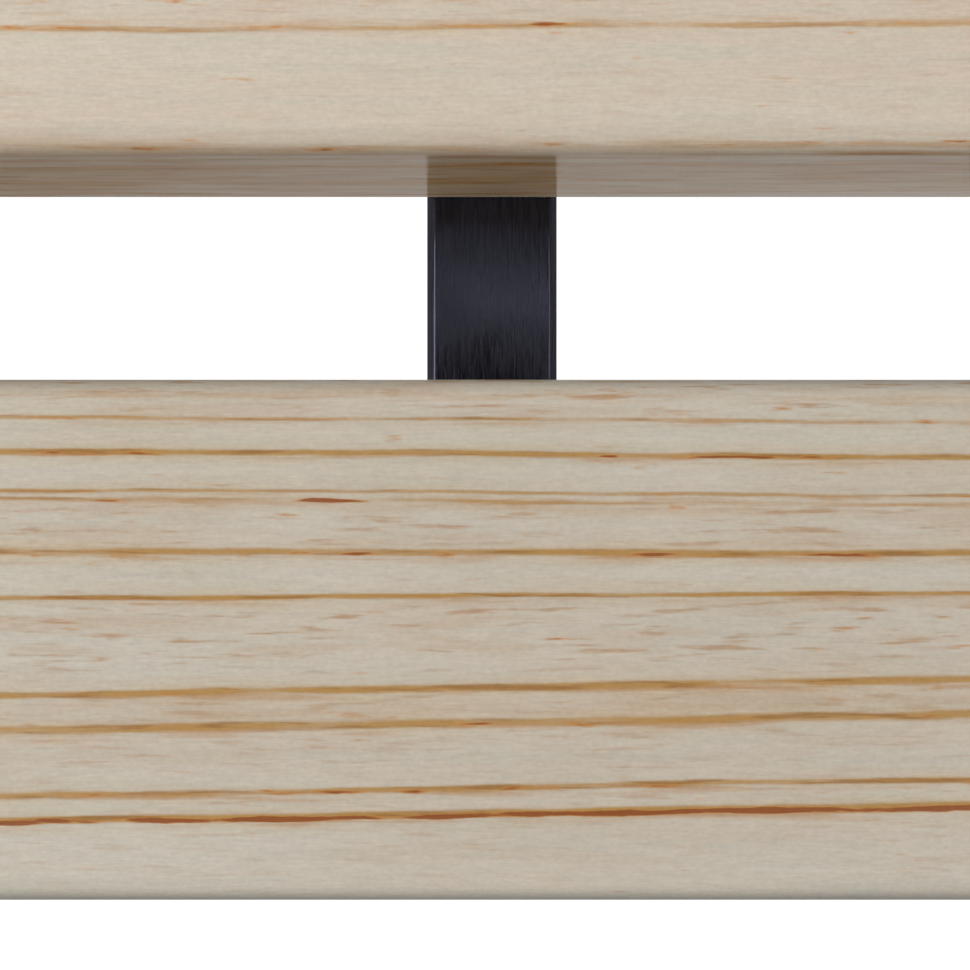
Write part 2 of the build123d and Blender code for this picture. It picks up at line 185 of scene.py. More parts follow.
def seen_directly(tree):
    """1 for camera, mirror and glass rays, which see the white backdrop itself."""
    path = add(tree, "ShaderNodeLightPath").outputs
    either = calc(tree, "MAXIMUM", path["Is Camera Ray"], path["Is Glossy Ray"])
    return calc(tree, "MAXIMUM", either, path["Is Transmission Ray"])


# Of the world: its light, what reflections see of it, and between which heights each part
# fades, a height being the Z of a direction.
AMBIENT = 0.16
HORIZON_SHEEN = 0.6
HORIZON_FADE = (0.0, 0.4)
CEILING_SHEEN = 0.3
CEILING_FADE = (0.90, 0.975)
ZENITH_FADE = (0.990, 0.997)
WINDOW_SHEEN = 1.6
WINDOW_HEIGHT = 0.9877
WINDOW_FADE = (0.0045, 0.0005)


def make_world():
    """Even soft light; seen directly white, and in reflections dark overhead but for a window."""
    world = bpy.data.worlds.new("studio")
    bpy.context.scene.world = world
    world.use_nodes = True
    tree = world.node_tree
    direction = add(tree, "ShaderNodeTexCoord").outputs["Generated"]
    height = add(tree, "ShaderNodeSeparateXYZ", {0: direction}).outputs["Z"]
    rising = spread(tree, height, *HORIZON_FADE, HORIZON_SHEEN, 1.0)
    ceiling = spread(tree, height, *CEILING_FADE, 1.0, CEILING_SHEEN)
    zenith = spread(tree, height, *ZENITH_FADE, 1.0, 0.0)
    off_window = calc(tree, "ABSOLUTE", calc(tree, "SUBTRACT", height, WINDOW_HEIGHT))
    window = spread(tree, off_window, *WINDOW_FADE, 0.0, WINDOW_SHEEN)
    overhead = calc(tree, "MULTIPLY", calc(tree, "MULTIPLY", rising, ceiling), zenith)
    overhead = calc(tree, "ADD", overhead, window)
    glossy = add(tree, "ShaderNodeLightPath").outputs["Is Glossy Ray"]
    seen = calc(tree, "MULTIPLY_ADD", glossy, calc(tree, "SUBTRACT", overhead, 1.0), 1.0)
    extra = calc(tree, "MULTIPLY", seen_directly(tree), calc(tree, "SUBTRACT", seen, AMBIENT))
    back = tree.nodes["Background"]
    back.inputs["Color"].default_value = (1, 1, 1, 1)
    tree.links.new(calc(tree, "ADD", extra, AMBIENT), back.inputs["Strength"])


# Of the floor: its glow when it is seen, and the loss of it in reflections, in metres around
# the middle.
FLOOR_WIDE = 40.0
FLOOR_GREY = (0.3, 0.3, 0.3, 1)
FLOOR_GLOW = 0.78
FLOOR_SHEEN_FADE = (0.7, 1.5)
FLOOR_SHEEN_LOSS = 0.70


def make_floor():
    """A pale floor far below the rack, white where it is seen."""
    bpy.ops.mesh.primitive_plane_add(size=FLOOR_WIDE, location=(0, 0, -FLOOR_DROP))
    floor = bpy.context.object
    floor.name = "floor"
    made, tree, shader, _ = material("pale_floor")
    shader.inputs["Base Color"].default_value = FLOOR_GREY
    shader.inputs["Roughness"].default_value = 0.9
    shader.inputs["Specular IOR Level"].default_value = 0.1
    shader.inputs["Emission Color"].default_value = (1, 1, 1, 1)
    spot = add(tree, "ShaderNodeTexCoord").outputs["Object"]
    off = add(tree, "ShaderNodeVectorMath", {0: spot}, operation="LENGTH").outputs["Value"]
    dimmed = spread(tree, off, *FLOOR_SHEEN_FADE, 0.0, FLOOR_SHEEN_LOSS)
    glossy = add(tree, "ShaderNodeLightPath").outputs["Is Glossy Ray"]
    glow = calc(tree, "MULTIPLY", seen_directly(tree), FLOOR_GLOW)
    glow = calc(tree, "SUBTRACT", glow, calc(tree, "MULTIPLY", glossy, dimmed))
    tree.links.new(glow, shader.inputs["Emission Strength"])
    floor.data.materials.append(made)


def soft_sun(name, towards, width, strength):
    """Light from a disc of sky of a width in degrees, the same all over the scene."""
    bpy.ops.object.light_add(type="SUN", location=Vector(towards) * 3)
    lamp = bpy.context.object
    lamp.name = name
    lamp.data.angle = math.radians(width)
    lamp.data.energy = strength
    lamp.rotation_euler = Vector(towards).to_track_quat("Z", "Y").to_euler()


def place_lights():
    """Broad soft lights over the rack, the stronger on the left."""
    soft_sun("soft_key", towards=(-0.80, 0.10, 0.62), width=56, strength=3.4)
    soft_sun("soft_fill", towards=(0.80, 0.05, 0.60), width=56, strength=1.05)


# ---------------------------------------------------------------- modelling helpers


def fresh(name):
    """Names and returns the object just added, its place applied to its mesh."""
    piece = bpy.context.object
    piece.name = name
    piece.data.name = name
    bpy.ops.object.transform_apply(location=True, rotation=True, scale=True)
    return piece


def pick_edges(piece, wanted):
    """In edit mode, selects the edges for which wanted(middle, direction) is true."""
    mesh = bmesh.from_edit_mesh(piece.data)
    bpy.ops.mesh.select_mode(type="EDGE")
    bpy.ops.mesh.select_all(action="DESELECT")
    for edge in mesh.edges:
        first, second = (v.co for v in edge.verts)
        edge.select = bool(wanted((first + second) / 2, (second - first).normalized()))
    mesh.select_flush_mode()
    bmesh.update_edit_mesh(piece.data)


def even_shading(piece):
    """Smooth rounds that leave the large flat faces flat."""
    bpy.ops.object.select_all(action="DESELECT")
    piece.select_set(True)
    bpy.context.view_layer.objects.active = piece
    bpy.ops.object.shade_smooth()
    weighted = piece.modifiers.new("weighted", "WEIGHTED_NORMAL")
    weighted.keep_sharp = True
    bpy.ops.object.modifier_apply(modifier=weighted.name)


def copy_of(piece, name, shift):
    """A copy of a piece with a mesh of its own, moved, its place applied."""
    bpy.ops.object.select_all(action="DESELECT")
    piece.select_set(True)
    bpy.context.view_layer.objects.active = piece
    bpy.ops.object.duplicate()
    bpy.ops.transform.translate(value=shift)
    return fresh(name)


def finish_piece(piece, node, made, body):
    """Gives a modelled piece its material and puts it in the place of a CAD node."""
    piece.data.materials.clear()
    piece.data.materials.append(made)
    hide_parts(node)
    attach(piece, body)


# ---------------------------------------------------------------- laths


def plain_lath(name, low, high):
    """A planed lath: upper edges well rounded, back edges and ends just eased."""
    bpy.ops.object.select_all(action="DESELECT")
    bpy.ops.mesh.primitive_cube_add(size=1, location=(low + high) / 2, scale=high - low)
    piece = fresh(name)
    bpy.ops.object.mode_set(mode="EDIT")
    pick_edges(piece, lambda middle, way: abs(way.x) > 0.9 and middle.z > high.z - MM)
    bpy.ops.mesh.bevel(offset=LATH_TOP_ROUND, segments=14, profile=ROUND)
    pick_edges(piece, lambda middle, way: abs(way.x) > 0.9 and middle.z < low.z + MM / 10)
    bpy.ops.mesh.bevel(offset=LATH_BACK_ARRIS, segments=5, profile=ROUND)
    ends = (low.x, high.x)
    pick_edges(piece, lambda middle, way: min(abs(middle.x - end) for end in ends) < MM / 10)
    bpy.ops.mesh.bevel(offset=LATH_END_ARRIS, segments=3, profile=ROUND)
    bpy.ops.object.mode_set(mode="OBJECT")
    even_shading(piece)
    return piece


def make_laths():
    """Six like laths, each with its own timber."""
    first_low, first_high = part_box("lath_1")
    first = plain_lath("pine_lath_1", first_low, first_high)
    for number in LATH_NUMBERS:
        node = f"lath_{number}"
        low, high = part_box(node)
        piece = first if number == 1 else copy_of(first, f"pine_{node}", low - first_low)
        finish_piece(piece, node, pine(number, low, high), "rack")


# ---------------------------------------------------------------- crossbars

BAR_EDGE = 0.75 * MM
BAR_EASED = 0.12 * MM
LEG_HOLE = 3.2 * MM
SCREW_HOLE = 2.2 * MM
SINK_WIDE = 4.0 * MM
SINK_NARROW = 2.0 * MM
SINK_DEPTH = 2.4 * MM
OVERSHOOT = 2.0 * MM
HOLE_SIDES = 48


def carve(piece, cutter):
    """Takes a cutter's shape out of a piece and removes the cutter."""
    bpy.ops.object.select_all(action="DESELECT")
    piece.select_set(True)
    bpy.context.view_layer.objects.active = piece
    hole = piece.modifiers.new("hole", "BOOLEAN")
    hole.operation = "DIFFERENCE"
    hole.solver = "EXACT"
    hole.object = cutter
    bpy.ops.object.modifier_apply(modifier=hole.name)
    bpy.data.objects.remove(cutter)


def drill(piece, bottom, top, below, above):
    """Cuts a round or conical hole out of a piece, between two points on an upright line."""
    bpy.ops.object.select_all(action="DESELECT")
    bpy.ops.mesh.primitive_cone_add(
        vertices=HOLE_SIDES,
        radius1=below,
        radius2=above,
        depth=top.z - bottom.z,
        location=(bottom + top) / 2,
    )
    carve(piece, bpy.context.object)


def crisp_shading(piece, degrees):
    """Smooth rounds, sharp corners past an angle, and large flat faces left flat."""
    bpy.ops.object.select_all(action="DESELECT")
    piece.select_set(True)
    bpy.context.view_layer.objects.active = piece
    bpy.ops.object.shade_smooth_by_angle(angle=math.radians(degrees))
    weighted = piece.modifiers.new("weighted", "WEIGHTED_NORMAL")
    weighted.keep_sharp = True
    bpy.ops.object.modifier_apply(modifier=weighted.name)


def upright(low, high, y):
    """Points just below and above a bar, in the middle of its width."""
    middle = (low.x + high.x) / 2
    return Vector((middle, y, low.z - OVERSHOOT)), Vector((middle, y, high.z + OVERSHOOT))


def plain_bar(name, low, high, legs, screws):
    """A square bar: bevelled edges with eased ridges, leg holes and countersunk screw holes."""
    bpy.ops.object.select_all(action="DESELECT")
    bpy.ops.mesh.primitive_cube_add(size=1, location=(low + high) / 2, scale=high - low)
    piece = fresh(name)
    bpy.ops.object.mode_set(mode="EDIT")
    bpy.ops.mesh.select_all(action="SELECT")
    bpy.ops.mesh.bevel(offset=BAR_EDGE, segments=1)
    bpy.ops.mesh.select_all(action="SELECT")
    bpy.ops.mesh.bevel(offset=BAR_EASED, segments=3, profile=ROUND)
    bpy.ops.object.mode_set(mode="OBJECT")
    for y in legs:
        bottom, top = upright(low, high, y)
        drill(piece, bottom, top, LEG_HOLE, LEG_HOLE)
    past = OVERSHOOT * (SINK_WIDE - SINK_NARROW) / SINK_DEPTH
    for y in screws:
        bottom, top = upright(low, high, y)
        drill(piece, bottom, top, SCREW_HOLE, SCREW_HOLE)
        sunk = Vector((bottom.x, y, low.z + SINK_DEPTH))
        drill(piece, bottom, sunk, SINK_WIDE + past, SINK_NARROW)
    crisp_shading(piece, 24)
    return piece


def screw_places():
    """Where the screws sit along Y: in the middle of each lath's width."""
    places = []
    for number in LATH_NUMBERS:
        low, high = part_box(f"lath_{number}")
        places.append((low.y + high.y) / 2)
    return places


def make_bars(paint):
    """Two like crossbars, holed where the bails' legs and the laths' screws go."""
    bail_low, bail_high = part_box("bail_left")
    rod = (bail_high.x - bail_low.x) / 2
    legs = (bail_low.y + rod, bail_high.y - rod)
    low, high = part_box("crossbar_left")
    left = plain_bar("bar_left", low, high, legs, screw_places())
    right = copy_of(left, "bar_right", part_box("crossbar_right")[0] - low)
    finish_piece(left, "crossbar_left", paint, "rack")
    finish_piece(right, "crossbar_right", paint, "rack")


# ---------------------------------------------------------------- lath screws

SCREW_SHANK = 2.0 * MM
SCREW_POINT = 0.4 * MM
SCREW_RIM = 0.12 * MM
RECESS_LONG = 4.4 * MM
RECESS_WIDE = 0.95 * MM
RECESS_DEEP = 1.5 * MM


def raise_ring(centre, height, scale):
    """Extrudes the selected face upwards and widens or narrows it."""
    bpy.ops.mesh.extrude_region_move(TRANSFORM_OT_translate={"value": (0, 0, height)})
    bpy.ops.transform.resize(value=(scale, scale, 1), center_override=centre)


def plain_screw(name, foot, length):
    """A countersunk wood screw, its head down, with a cross recess."""
    bpy.ops.object.select_all(action="DESELECT")
    bpy.ops.mesh.primitive_circle_add(
        vertices=HOLE_SIDES, radius=SINK_WIDE - SCREW_RIM, fill_type="NGON", location=foot
    )
    piece = fresh(name)
    bpy.ops.object.mode_set(mode="EDIT")
    bpy.ops.mesh.select_all(action="SELECT")
    raise_ring(foot, SCREW_RIM, SINK_WIDE / (SINK_WIDE - SCREW_RIM))
    raise_ring(foot, SINK_DEPTH - SCREW_RIM, SCREW_SHANK / SINK_WIDE)
    raise_ring(foot, length - SINK_DEPTH - SCREW_SHANK, 1)
    raise_ring(foot, SCREW_SHANK, SCREW_POINT / SCREW_SHANK)
    bpy.ops.mesh.select_all(action="SELECT")
    bpy.ops.mesh.normals_make_consistent(inside=False)
    bpy.ops.object.mode_set(mode="OBJECT")
    for along, across in ((RECESS_LONG, RECESS_WIDE), (RECESS_WIDE, RECESS_LONG)):
        bpy.ops.object.select_all(action="DESELECT")
        recess = (along, across, 2 * RECESS_DEEP)
        bpy.ops.mesh.primitive_cube_add(size=1, location=foot, scale=recess)
        carve(piece, bpy.context.object)
    crisp_shading(piece, 30)
    return piece


def make_screws(metal):
    """One screw under each lath at each crossbar, joined in one piece."""
    low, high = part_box("lath_screws")
    screws = []
    for side in ("left", "right"):
        bar_low, bar_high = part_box(f"crossbar_{side}")
        for y in screw_places():
            foot = Vector(((bar_low.x + bar_high.x) / 2, y, low.z))
            if screws:
                screws.append(copy_of(screws[0], "screw", foot - first_foot))
            else:
                first_foot = foot
                screws.append(plain_screw("cross_screws", foot, high.z - low.z))
    bpy.ops.object.select_all(action="DESELECT")
    for screw in screws:
        screw.select_set(True)
    bpy.context.view_layer.objects.active = screws[0]
    bpy.ops.object.join()
    finish_piece(screws[0], "lath_screws", metal, "rack")


# ---------------------------------------------------------------- timber

CREAM = (0.528, 0.484, 0.408, 1)
PINKISH = (0.520, 0.440, 0.352, 1)
GREYISH = (0.474, 0.442, 0.368, 1)
HONEY = (0.500, 0.365, 0.205, 1)
OCHRE = (0.400, 0.225, 0.070, 1)
STAIN = (0.420, 0.215, 0.085, 1)
AMBER = (0.470, 0.215, 0.060, 1)
RUST = (0.230, 0.060, 0.018, 1)
BROWN = (0.270, 0.125, 0.040, 1)
FLECK = (0.400, 0.240, 0.130, 1)
END_GRAIN = (0.400, 0.290, 0.180, 1)
ROSE_TAN = (0.480, 0.360, 0.255, 1)
# How pink and how pale the laths are, in turn.
ROSY = (0.35, 0.25, 0.85, 0.5, 0.2)
PALE = (0.97, 1.0, 1.15, 1.04, 0.96, 1.08)

# Growth rings where they meet a lath's face: mm from its middle towards +Y, half width in mm,
# strength and redness. Those of the first two laths are listed one by one, the others' set by a
# rule.
FIRST_LATH_RINGS = (
    (20.3, 0.28, 0.30, 0.0),
    (18.4, 0.17, 0.75, 0.3),
    (15.6, 0.25, 0.95, 0.35),
    (12.4, 0.15, 0.75, 0.2),
    (11.7, 0.15, 0.68, 0.3),
    (7.5, 0.30, 0.95, 0.4),
    (3.9, 0.19, 0.95, 0.3),
    (-3.7, 0.30, 0.95, 0.2),
    (-5.2, 1.0, 0.22, 0.0),
    (-6.6, 0.36, 0.92, 0.3),
    (-12.0, 0.25, 0.90, 0.4),
    (-14.1, 0.32, 1.00, 1.5),
)
SECOND_LATH_RINGS = (
    (-25.0, 1.75, 0.64, 0.0),
    (-26.6, 0.16, 0.70, 0.3),
    (-26.0, 0.14, 0.60, 0.2),
    (-25.3, 0.18, 0.75, 0.3),
    (-24.6, 0.14, 0.60, 0.2),
    (-23.9, 0.18, 0.75, 0.3),
    (-23.2, 0.14, 0.65, 0.2),
    (-22.4, 0.30, 0.45, 0.5),
    (-12.4, 0.25, 0.70, 0.4),
    (-8.6, 0.35, 0.80, 0.5),
    (-3.5, 0.25, 0.70, 0.4),
    (1.5, 0.35, 0.90, 0.6),
    (7.0, 0.25, 0.70, 0.4),
    (11.0, 0.30, 0.80, 0.5),
    (16.5, 0.25, 0.70, 0.4),
)
# Dark red streaks on the first lath: mm along it from the crossbar's middle, half length, and
# place, half width and redness as for a ring.
FIRST_LATH_STREAKS = (
    (-13.2, 3.4, 11.7, 0.18, 1.7),
    (20.9, 3.9, 15.6, 0.20, 1.5),
    (9.7, 1.7, 15.6, 0.18, 1.2),
    (-12.7, 5.2, 7.5, 0.23, 1.4),
    (13.4, 2.7, 7.5, 0.21, 1.2),
    (26.5, 4.6, 7.5, 0.23, 1.3),
    (30.9, 2.0, 1.8, 0.22, 1.1),
    (5.1, 2.2, 0.3, 0.20, 1.0),
    (36.4, 1.7, -6.6, 0.22, 1.5),
    (-1.1, 2.6, -6.6, 0.20, 1.1),
)
# Stretches of short brown flecks, given as the rings are.
FIRST_LATH_FLECKS = (
    (20.6, 1.6, 1.0, 0),
    (10.0, 2.0, 0.9, 0),
    (1.0, 2.8, 1.0, 0),
    (-5.2, 1.2, 0.6, 0),
    (-8.4, 2.2, 0.5, 0),
    (-12.8, 1.4, 0.6, 0),
    (-17.2, 2.4, 0.35, 0),
)
OTHER_FLECKS = ((-18, 3, 0.25, 0), (-7, 4, 0.8, 0), (6, 3, 0.6, 0), (19, 4, 0.7, 0))
OTHER_RINGS = 11
OTHER_RINGS_REACH = 23.0
# The middle of the tree as seen from a lath's middle, in mm along Y and Z.
FIRST_PITH = (-150.0, -70.0)
PITH_ASIDE = 150.0
PITH_ABOVE = 70.0
PITH_STEP = 12.0
# How the rings lean along a lath, in its upper and lower part, and how they wander: the size
# in mm and the amount of each bend.
FIRST_LEAN = (-0.005, 0.0155)
OTHER_LEAN = (0.004, -0.006)
LEAN_FADE = (12.0, -4.0)
RING_BENDS = (
    ((60, 14, 14), 0.9),
    ((16, 4, 4), 0.4),
    ((3.5, 0.9, 0.9), 0.13),
    ((1.3, 0.35, 0.35), 0.07),
)
WAVE_LENGTH = 150.0
WAVE_STEP = 1.9
TONE_LENGTH = 50.0
TONE_DRIFT = 0.04
# Painted shade and painted highlight on a lath's rounded edges: how much lighter or darker the
# upper and the lower edge of a lath are drawn, where they differ.
PAINTED_EDGE_SHADE_AND_LIGHT = {1: (0.85, 0.72), 2: (1.0, 1.18)}
VARNISH = 0.45
VARNISH_ROUGH = 0.14


def rings_of(number):
    """The growth rings of a lath, as (place, half width, strength, redness)."""
    if number == 1:
        return FIRST_LATH_RINGS
    if number == 2:
        return SECOND_LATH_RINGS
    turn = number * 1.7
    return [
        (
            OTHER_RINGS_REACH * (2 * k / (OTHER_RINGS - 1) - 1) + 1.2 * math.sin(2.1 * k + turn),
            0.31 + 0.12 * math.sin(3.7 * k + turn),
            0.72 + 0.25 * math.sin(5.3 * k + 2 * turn),
            0.5 + 0.4 * math.sin(4.1 * k + 3 * turn),
        )
        for k in range(OTHER_RINGS)
    ]


def growth_ring_group():
    """One growth ring at a radius: its hard line, the stain inside it, a warm tint, a red core."""
    tree, taken, given = group(
        "growth_ring",
        [
            ("Radius", "value"),
            ("Place", "value"),
            ("Half Width", "value"),
            ("Strength", "value"),
            ("Redness", "value"),
        ],
        [("Line", "value"), ("Stain", "value"), ("Tint", "value"), ("Core", "value")],
    )
    inward = calc(tree, "SUBTRACT", taken["Place"], taken["Radius"])
    off = calc(tree, "ABSOLUTE", inward)
    wide = taken["Half Width"]
    line = spread(tree, calc(tree, "DIVIDE", off, wide), 1.7, 0.3)
    tree.links.new(calc(tree, "MULTIPLY", line, taken["Strength"]), given["Line"])
    begun = spread(tree, calc(tree, "DIVIDE", inward, wide), -0.8, 0.2)
    reach = calc(tree, "MULTIPLY_ADD", wide, 2.6, 0.35)
    left = spread(tree, calc(tree, "DIVIDE", inward, reach), 1.0, 0.1)
    stain = calc(tree, "MULTIPLY", calc(tree, "MULTIPLY", begun, left), taken["Strength"])
    tree.links.new(stain, given["Stain"])
    tint = calc(tree, "MULTIPLY", spread(tree, off, 1.7, 0.0), taken["Strength"])
    tree.links.new(tint, given["Tint"])
    from_core = calc(tree, "ABSOLUTE", calc(tree, "MULTIPLY_ADD", wide, -0.45, inward))
    core = spread(tree, calc(tree, "DIVIDE", from_core, wide), 1.3, 0.1)
    tree.links.new(calc(tree, "MULTIPLY", core, taken["Redness"]), given["Core"])


def timber_figure_group():
    """Distance from the pith of a lath, bent as real growth rings wander."""
    tree, taken, given = group(
        "timber_figure",
        [
            ("Vector", "vector"),
            ("Place", "vector"),
            ("Pith Y", "value"),
            ("Pith Z", "value"),
            ("Lean Above", "value"),
            ("Lean Below", "value"),
            ("Phase", "value"),
        ],
        [("Radius", "value")],
    )
    place = add(tree, "ShaderNodeSeparateXYZ", {0: taken["Place"]}).outputs
    across = place["Y"]
    for size, amount in RING_BENDS:
        wave = calc(tree, "SUBTRACT", noise(tree, taken["Vector"], size), 0.5)
        across = calc(tree, "MULTIPLY_ADD", wave, amount, across)
    lean = add(
        tree,
        "ShaderNodeMapRange",
        {"Value": place["Y"], "From Min": LEAN_FADE[0], "From Max": LEAN_FADE[1]},
        interpolation_type="SMOOTHSTEP",
    )
    tree.links.new(taken["Lean Above"], lean.inputs["To Min"])
    tree.links.new(taken["Lean Below"], lean.inputs["To Max"])
    turn = calc(tree, "MULTIPLY_ADD", place["X"], 1 / WAVE_LENGTH, taken["Phase"])
    rise = calc(tree, "MULTIPLY", calc(tree, "SINE", turn), WAVE_LENGTH)
    across = calc(tree, "SUBTRACT", across, calc(tree, "MULTIPLY", rise, lean.outputs[0]))
    level = calc(tree, "SUBTRACT", across, taken["Pith Y"])
    upright = calc(tree, "SUBTRACT", place["Z"], taken["Pith Z"])
    square = calc(tree, "MULTIPLY_ADD", level, level, calc(tree, "MULTIPLY", upright, upright))
    tree.links.new(calc(tree, "SQRT", square), given["Radius"])


def timber_colour_group():
    """Colour, roughness and relief of pine, from its rings, its flecked stretches and its tone,
    which carries painted shade and highlight on the edges.
    """
    tree, taken, given = group(
        "timber_colour",
        [
            ("Vector", "vector"),
            ("Line", "value"),
            ("Stain", "value"),
            ("Tint", "value"),
            ("Core", "value"),
            ("Flecked", "value"),
            ("Rosy", "value"),
            ("Tone And Edge Shade", "value"),
            ("End", "value"),
        ],
        [("Colour", "colour"), ("Roughness", "value"), ("Height", "value")],
    )
    vector, line = taken["Vector"], taken["Line"]
    tone = spread(tree, noise(tree, vector, (90, 7, 7)), 0.36, 0.64, -0.3, 0.3)
    tone = calc(tree, "ADD", tone, taken["Rosy"], clamp=True)
    colour = blend_colour(tree, tone, CREAM, PINKISH)
    bands = spread(tree, noise(tree, vector, (30, 1.5, 1.5), 3.0), 0.45, 0.72)
    colour = blend_colour(tree, calc(tree, "MULTIPLY", bands, 0.6), colour, GREYISH)
    patch = noise(tree, vector, (22, 4, 4), 3.0)
    beside = calc(tree, "MULTIPLY", taken["Tint"], spread(tree, patch, 0.35, 0.65, 0.05, 0.42))
    colour = blend_colour(tree, beside, colour, HONEY)
    blush = spread(tree, noise(tree, vector, (14, 1.6, 1.6), 2.0), 0.46, 0.66)
    blush = calc(tree, "MULTIPLY", blush, taken["Flecked"])
    colour = blend_colour(tree, calc(tree, "MULTIPLY", blush, 0.5), colour, ROSE_TAN)
    mark = spread(tree, noise(tree, vector, (5.5, 0.55, 0.55), 2.0), 0.55, 0.74)
    fleck = calc(tree, "MULTIPLY", mark, taken["Flecked"])
    colour = blend_colour(tree, calc(tree, "MULTIPLY", fleck, 0.8), colour, FLECK)
    streak = noise(tree, vector, (13, 0.7, 0.7), 3.0)
    stain = calc(tree, "MULTIPLY", taken["Stain"], spread(tree, streak, 0.44, 0.62), clamp=True)
    colour = blend_colour(tree, calc(tree, "MULTIPLY", stain, 0.75), colour, STAIN)
    whole = calc(tree, "MULTIPLY_ADD", line, 0.5, noise(tree, vector, (12, 1.2, 1.2), 3.0))
    shown = calc(tree, "MULTIPLY", line, spread(tree, whole, 0.62, 1.00, 0.3, 1.0), clamp=True)
    colour = blend_colour(tree, shown, colour, OCHRE)
    dark = spread(tree, noise(tree, vector, (7, 0.45, 0.45), 3.0), 0.49, 0.64, 0.0, 0.75)
    colour = blend_colour(tree, calc(tree, "MULTIPLY", dark, shown), colour, BROWN)
    dash = noise(tree, vector, (5, 0.8, 0.8), 3.0)
    core = calc(tree, "MULTIPLY_ADD", taken["Core"], 0.30, dash)
    colour = blend_colour(tree, spread(tree, core, 0.66, 0.80, 0.0, 0.7), colour, AMBER)
    colour = blend_colour(tree, spread(tree, core, 0.75, 0.87, 0.0, 0.85), colour, RUST)
    colour = blend_colour(tree, calc(tree, "MULTIPLY", taken["End"], 0.7), colour, END_GRAIN)
    fibre = noise(tree, vector, (2.0, 0.2, 0.2), 2.0, 0.6)
    speck = noise(tree, vector, (0.5, 0.33, 0.33), 1.0)
    shade = spread(tree, fibre, 0.25, 0.75, 0.94, 1.06, smooth=False)
    shade = calc(tree, "MULTIPLY", shade, spread(tree, speck, 0.3, 0.7, 0.96, 1.04, smooth=False))
    # The lath's own tone, with the painted edge shade and highlight multiplied in.
    shade = calc(tree, "MULTIPLY", shade, taken["Tone And Edge Shade"])
    grey = add(tree, "ShaderNodeCombineColor", {0: shade, 1: shade, 2: shade}).outputs[0]
    colour = blend_colour(tree, 1.0, colour, grey, "MULTIPLY")
    tree.links.new(colour, given["Colour"])
    tree.links.new(calc(tree, "MULTIPLY_ADD", fibre, 0.2, 0.4), given["Roughness"])
    tree.links.new(calc(tree, "MULTIPLY_ADD", line, 0.5, fibre), given["Height"])


def layered(tree, radius, face, pith, layers, outputs):
    """The strongest of some growth rings or stretches at each point, for each output."""
    found = [None] * outputs
    for place, half_width, strength, redness in layers:
        values = {
            "Radius": radius,
            "Place": math.hypot(place - pith[0], face - pith[1]),
            "Half Width": half_width,
            "Strength": strength,
            "Redness": redness,
        }
        made = use(tree, "growth_ring", values)
        for k in range(outputs):
            found[k] = made[k] if found[k] is None else calc(tree, "MAXIMUM", found[k], made[k])
    return found


def streaked(tree, core, radius, along, face, pith):
    """Adds the first lath's red streaks to the cores of its rings."""
    for start, half_length, place, half_width, redness in FIRST_LATH_STREAKS:
        off = calc(tree, "ABSOLUTE", calc(tree, "SUBTRACT", along, start))
        values = {
            "Radius": radius,
            "Place": math.hypot(place - pith[0], face - pith[1]),
            "Half Width": half_width,
            "Strength": 0.0,
            "Redness": spread(tree, off, 1.6 * half_length, 0.0, 0.0, redness),
        }
        core = calc(tree, "MAXIMUM", core, use(tree, "growth_ring", values)["Core"])
    return core


def pith_of(number):
    """The middle of the tree that a lath was sawn from, for the others now on one side of the
    lath, now on the other."""
    if number == 1:
        return FIRST_PITH
    side = 1 if number // 2 % 2 else -1
    return side * PITH_ASIDE, PITH_ABOVE - PITH_STEP * (number % 3)


